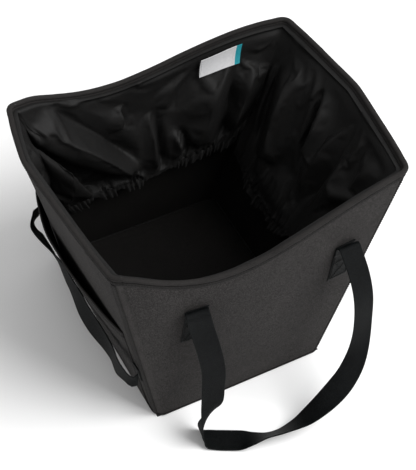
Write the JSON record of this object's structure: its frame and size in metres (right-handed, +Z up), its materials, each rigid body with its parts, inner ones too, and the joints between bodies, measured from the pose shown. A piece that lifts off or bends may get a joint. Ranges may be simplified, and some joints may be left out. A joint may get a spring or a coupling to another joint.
{
  "type": "soft carrier basket",
  "caption": "Soft stiffened fabric basket with an open flared mouth, gathered inner collar, carrying handles, an outside pocket and a side strap.",
  "frame": {"origin": "on the floor under the middle of the base", "axes": "+X along the long side of the mouth, to the right; +Y from the front to the back; +Z up"},
  "size_m": [0.436, 0.5228, 0.334],
  "materials": {
    "shell_cloth": "matt charcoal plain-weave polyester",
    "inner_cloth": "matt black inner wall cloth",
    "stiffener": "grey plastic board, hidden",
    "binding_tape": "black woven tape, ribbed",
    "rim_spring": "flat spring strip, hidden",
    "collar_nylon": "thin black nylon with a soft sheen",
    "elastic": "black elastic, hidden in the hem",
    "label_cloth": "white satin woven label, blank",
    "label_tab_cloth": "teal woven end strip, blank",
    "webbing": "black polypropylene webbing, cool grey sheen"
  },
  "bodies": {
    "shell": {"front_panel": "shell_cloth", "right_panel": "shell_cloth", "back_panel": "shell_cloth", "left_panel": "shell_cloth", "front_board": "stiffener", "back_board": "stiffener", "right_board_front": "stiffener", "right_board_back": "stiffener", "left_board_front": "stiffener", "left_board_back": "stiffener", "front_facing": "inner_cloth", "right_facing": "inner_cloth", "back_facing": "inner_cloth", "left_facing": "inner_cloth", "base_panel": "shell_cloth", "base_board": "stiffener", "base_facing": "inner_cloth", "base_seam": "binding_tape", "seam_front_left": "binding_tape", "seam_front_right": "binding_tape", "seam_back_left": "binding_tape", "seam_back_right": "binding_tape", "rim_frame": "rim_spring", "rim_binding": "binding_tape", "collar": "collar_nylon", "collar_elastic": "elastic", "label": "label_cloth", "label_tab": "label_tab_cloth", "front_end_left": "webbing", "front_end_right": "webbing", "back_end_left": "webbing", "back_end_right": "webbing", "side_pocket": "shell_cloth", "pocket_binding": "binding_tape", "side_strap_end_front": "webbing", "side_strap_end_back": "webbing"},
    "front_handle": {"front_handle": "webbing"},
    "back_handle": {"back_handle": "webbing"},
    "side_strap": {"side_strap": "webbing"}
  },
  "joints": [
    {"name": "front_handle_swing", "type": "hinge", "parent": "shell", "child": "front_handle", "pos_m": [0, -0.16302, 0.24], "axis": [-0.9994, -0.0341, 0], "range_deg": [0, 120]},
    {"name": "back_handle_swing", "type": "hinge", "parent": "shell", "child": "back_handle", "pos_m": [0, 0.16302, 0.24], "axis": [0.9994, -0.0341, 0], "range_deg": [0, 120]},
    {"name": "side_strap_flop", "type": "hinge", "parent": "shell", "child": "side_strap", "pos_m": [-0.1555, 0, 0.1105], "axis": [0.014, -0.9977, -0.0667], "range_deg": [0, 50], "stiffness_Nm_per_rad": 0.03, "springref_deg": -20.05}
  ]
}
